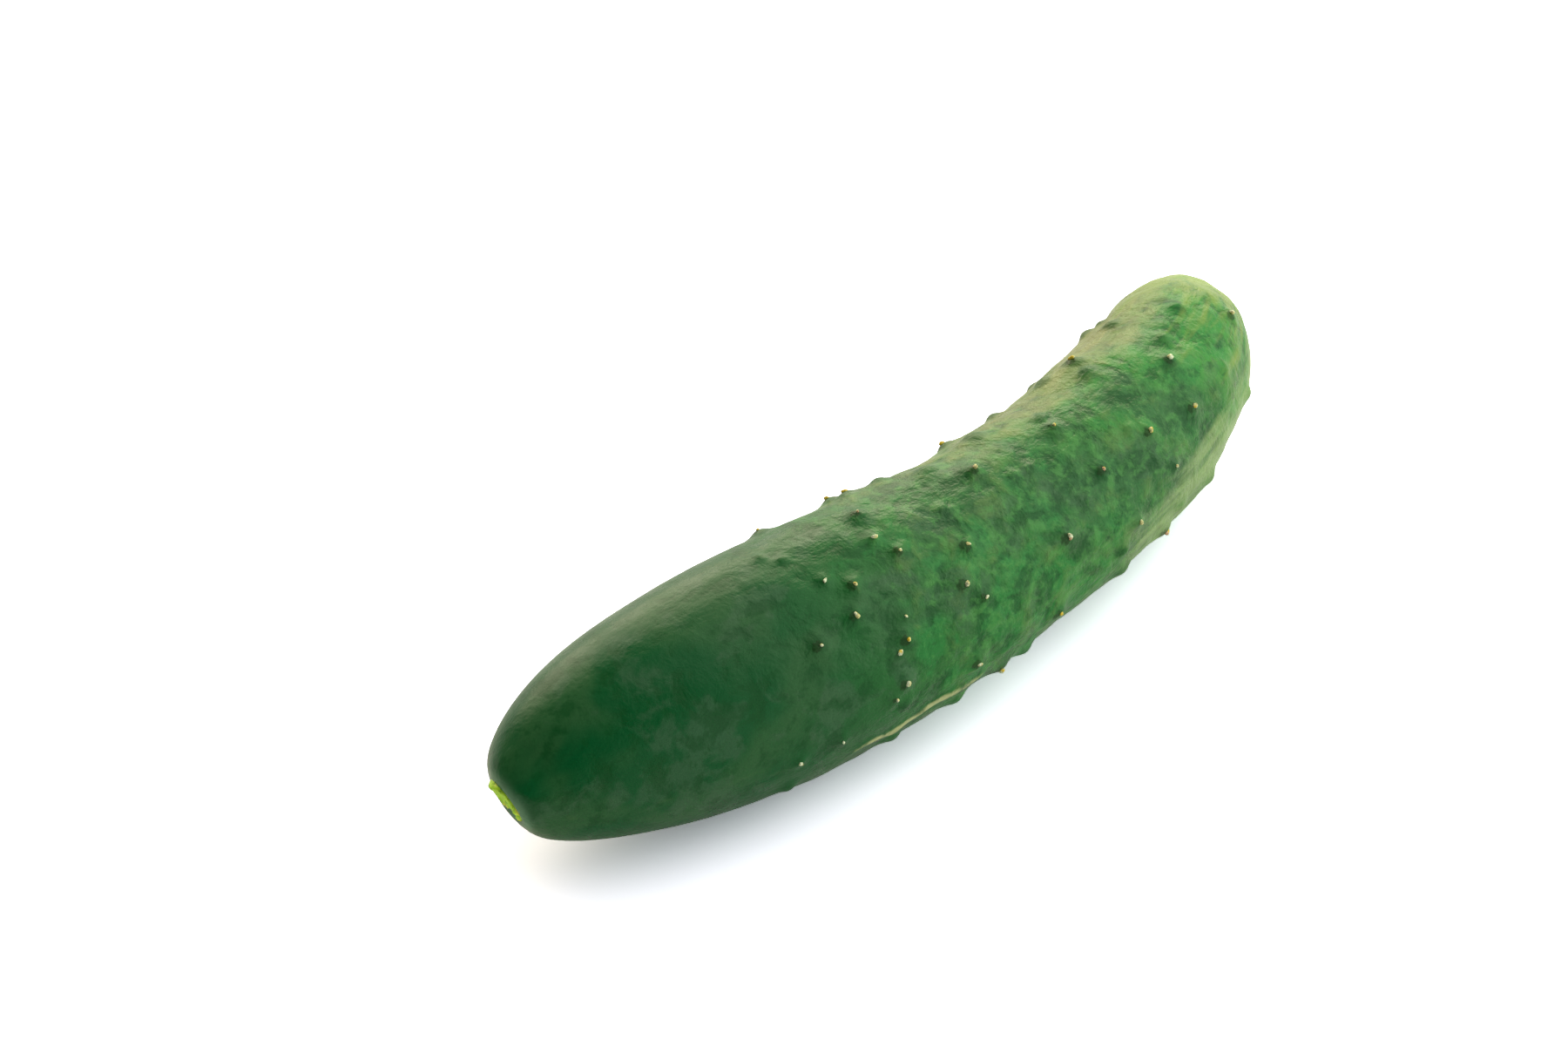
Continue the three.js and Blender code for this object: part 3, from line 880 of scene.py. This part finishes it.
class CUCUMBER_OT_stem_scar(bpy.types.Operator):
    """Cover the stem end's dish with the torn tissue of the stalk"""

    bl_idname = "cucumber.stem_scar"
    bl_label = "Stem scar"

    def execute(self, context):
        rim = radius_place(STEM_SCAR_RADIUS, 0.0)
        share = np.linspace(0, 1, PLUG_RINGS)
        inwards = share[::-1][1:]
        radii = np.concatenate([PLUG_RADIUS * share, PLUG_RADIUS * inwards])
        front_face = rim + PLUG_FRONT - PLUG_FRONT_DOME * share
        back_face = rim + PLUG_BACK - PLUG_BACK_DOME * inwards**2
        heights = np.concatenate([front_face, back_face])
        piece = to_object("stem_scar", spun_mesh(radii, heights, PLUG_SIDES))
        raw = points_of(piece)
        turned = np.hypot(raw[:, 0], raw[:, 1])
        angle = np.arctan2(raw[:, 0], raw[:, 1])
        crest = smooth_step(turned, *CREST_INNER) * (1 - smooth_step(turned, *CREST_OUTER))
        crest *= CREST_LEAST + CREST_TILT * np.cos(angle - CREST_SIDE)
        ragged = np.array([noise.noise(point) for point in raw * TEARS_PER_MM])
        front = raw[:, 2] < rim + PLUG_FRONT_LIMIT
        torn = TEAR_HEIGHT * ragged * turned / PLUG_RADIUS
        mm = raw[:, 2] + front * (torn - CREST_HEIGHT * crest)
        lopsided = REACH + REACH_TILT * np.cos(angle - REACH_SIDE) + REACH_TEARS * ragged
        set_points(piece, placed(mm, angle, turned * lopsided))
        # The hollow attribute is painted shade in the middle of the plug, inside its crest.
        write_attribute(piece, "hollow", "FLOAT", 1 - smooth_step(turned + ragged, *PLUG_HOLLOW_SHADE))
        own_piece(piece, cut_material(context.scene.cucumber_colours))
        return {"FINISHED"}


class CUCUMBER_OT_blossom_scar(bpy.types.Operator):
    """Fill the blossom end's dish with the withered base of the flower"""

    bl_idname = "cucumber.blossom_scar"
    bl_label = "Blossom scar"

    def execute(self, context):
        rim = radius_place(BLOSSOM_SCAR_RADIUS, LENGTH)
        share = np.linspace(0, 1, CORK_RINGS)
        inwards = share[::-1][1:]
        radii = np.concatenate([CORK_RADIUS * share, CORK_RADIUS * inwards])
        back_face = rim - CORK_BACK + CORK_BACK_DOME * share**2
        front_face = rim - CORK_FRONT - CORK_FRONT_DOME * inwards**2
        heights = np.concatenate([back_face, front_face])
        piece = to_object("blossom_scar", spun_mesh(radii, heights, CORK_SIDES))
        raw = points_of(piece)
        turned = np.hypot(raw[:, 0], raw[:, 1])
        angle = np.arctan2(raw[:, 0], raw[:, 1])
        wave = CORK_WAVE_HEIGHT * np.sin(CORK_WAVES * angle)
        mm = raw[:, 2] + wave * turned / CORK_RADIUS
        set_points(piece, placed(mm, angle, turned))
        own_piece(piece, cork_material())
        return {"FINISHED"}


class CUCUMBER_OT_studio(bpy.types.Operator):
    """Set the floor, the soft lights and the camera"""

    bl_idname = "cucumber.studio"
    bl_label = "Studio"

    def execute(self, context):
        self.add_floor(context)
        self.add_camera(context)
        self.light_world(context)
        context.scene.view_settings.view_transform = "Standard"
        return {"FINISHED"}

    def add_floor(self, context):
        mesh = bmesh.new()
        bmesh.ops.create_grid(mesh, x_segments=1, y_segments=1, size=FLOOR_HALF_WIDTH)
        floor = to_object("studio_floor", mesh)
        floor.data.materials.append(floor_material())

    def add_camera(self, context):
        studio = context.scene.cucumber_studio
        back = self.direction(studio.azimuth, studio.elevation)
        data = bpy.data.cameras.new("camera")
        data.lens = studio.lens
        data.sensor_width = CAMERA_SENSOR
        data.clip_start, data.clip_end = CAMERA_NEAR, CAMERA_FAR
        camera = bpy.data.objects.new("camera", data)
        camera.location = Vector(studio.aim) + back * studio.distance
        camera.rotation_euler = back.to_track_quat("Z", "Y").to_euler()
        context.scene.collection.objects.link(camera)
        context.scene.camera = camera

    def direction(self, azimuth, elevation):
        flat = math.cos(elevation)
        return Vector(
            (math.sin(azimuth) * flat, -math.cos(azimuth) * flat, math.sin(elevation))
        )

    def light_world(self, context):
        """A dim room with soft panels of light in it. The camera sees plain white instead."""
        world = bpy.data.worlds.new("studio_surround")
        world.use_nodes = True
        tree = world.node_tree
        tree.nodes.clear()
        towards = node(tree, "ShaderNodeTexCoord", "Generated")
        light = alpha(DIM_ROOM)
        for panel, near, far, colour in PANELS:
            facing = node(
                tree, "ShaderNodeVectorMath", "Value", {0: towards, 1: panel}, operation="DOT_PRODUCT"
            )
            share = node(
                tree, RANGE, 0, {0: facing, 1: math.cos(far), 2: math.cos(near)},
                interpolation_type="SMOOTHSTEP",
            )
            light = node(
                tree, MIX, 2, {0: share, 6: light, 7: (*colour, 1.0)}, data_type="RGBA",
                blend_type="ADD",
            )
        seen = node(tree, "ShaderNodeLightPath", "Is Camera Ray")
        room = node(tree, "ShaderNodeBackground", 0, {"Color": light})
        white = node(tree, "ShaderNodeBackground", 0, {"Color": PLAIN_WHITE})
        mix = node(tree, "ShaderNodeMixShader", 0, {0: seen, 1: room, 2: white})
        node(tree, "ShaderNodeOutputWorld", None, {"Surface": mix})
        context.scene.world = world


class CUCUMBER_PT_panel(bpy.types.Panel):
    """Lists the fruit's operators and settings in the sidebar"""

    bl_label = "Slicing Cucumber"
    bl_idname = "CUCUMBER_PT_panel"
    bl_space_type = "VIEW_3D"
    bl_region_type = "UI"
    bl_category = "Cucumber"

    def draw(self, context):
        for operator in OPERATORS:
            self.layout.operator(operator.bl_idname)
        for name in SETTINGS:
            group = getattr(context.scene, name)
            for setting in group.__annotations__:
                self.layout.prop(group, setting)


OPERATORS = (
    CUCUMBER_OT_studio,
    CUCUMBER_OT_skin,
    CUCUMBER_OT_spines,
    CUCUMBER_OT_stem_scar,
    CUCUMBER_OT_blossom_scar,
)
SETTINGS = {
    "cucumber_fruit": CucumberFruit,
    "cucumber_colours": CucumberColours,
    "cucumber_studio": CucumberStudio,
}


def register():
    for each in (*SETTINGS.values(), *OPERATORS, CUCUMBER_PT_panel):
        bpy.utils.register_class(each)
    for name, group in SETTINGS.items():
        setattr(bpy.types.Scene, name, bpy.props.PointerProperty(type=group))


def unregister():
    for name in SETTINGS:
        delattr(bpy.types.Scene, name)
    for each in (CUCUMBER_PT_panel, *reversed(OPERATORS), *reversed(SETTINGS.values())):
        bpy.utils.unregister_class(each)


def main():
    register()
    bpy.ops.cucumber.studio()
    bpy.ops.cucumber.skin()
    bpy.ops.cucumber.spines()
    bpy.ops.cucumber.stem_scar()
    bpy.ops.cucumber.blossom_scar()


if __name__ == "__main__":
    main()
